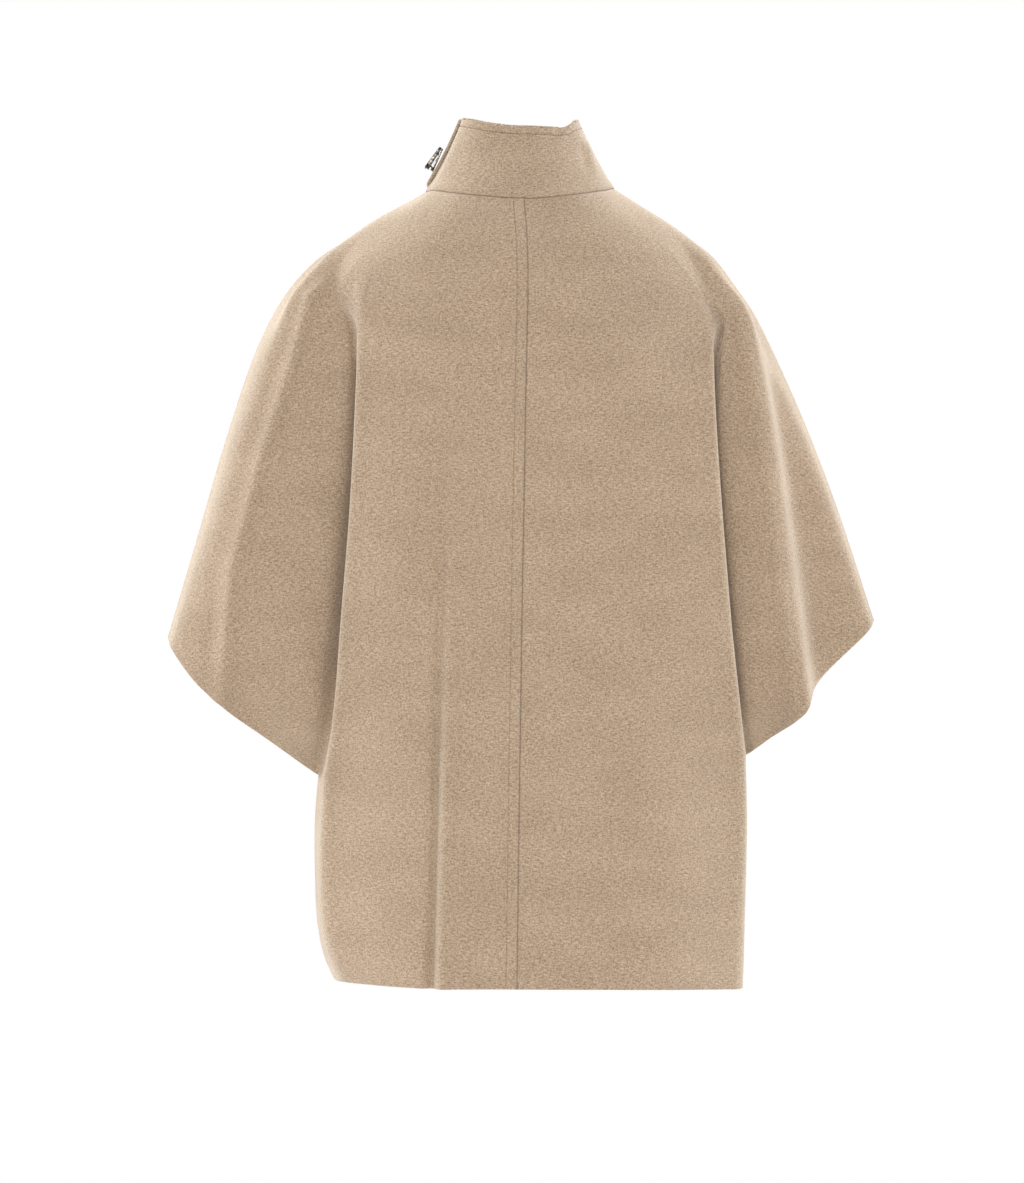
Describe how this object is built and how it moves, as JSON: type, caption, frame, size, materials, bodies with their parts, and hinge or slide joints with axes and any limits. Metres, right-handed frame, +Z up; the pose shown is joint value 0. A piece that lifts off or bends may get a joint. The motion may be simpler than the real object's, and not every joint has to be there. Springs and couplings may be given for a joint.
{
  "type": "wool cape",
  "caption": "Worn wool cape with batwing sleeves cut in one, standing funnel collar lapped to one side, and a metal clasp on the collar.",
  "frame": {"origin": "on the axis of the wearer's neck, at the height of the centre back neck seam, which is where the neck and shoulders hold the cape up", "axes": "+Z up, -Y towards the wearer's front, +X towards the wearer's left; the picture looks along -Y at the back"},
  "size_m": [0.672, 0.2521, 0.8249],
  "materials": {
    "wool": "brushed heather wool",
    "gunmetal": "dark antique nickel"
  },
  "bodies": {
    "root": {"back_left": "wool", "back_right": "wool", "front_left": "wool", "front_right": "wool", "collar": "wool", "clasp_plate": "gunmetal", "clasp_lever": "gunmetal", "clasp_link": "gunmetal", "clasp_rivet_upper": "gunmetal", "clasp_rivet_lower": "gunmetal"}
  },
  "joints": []
}
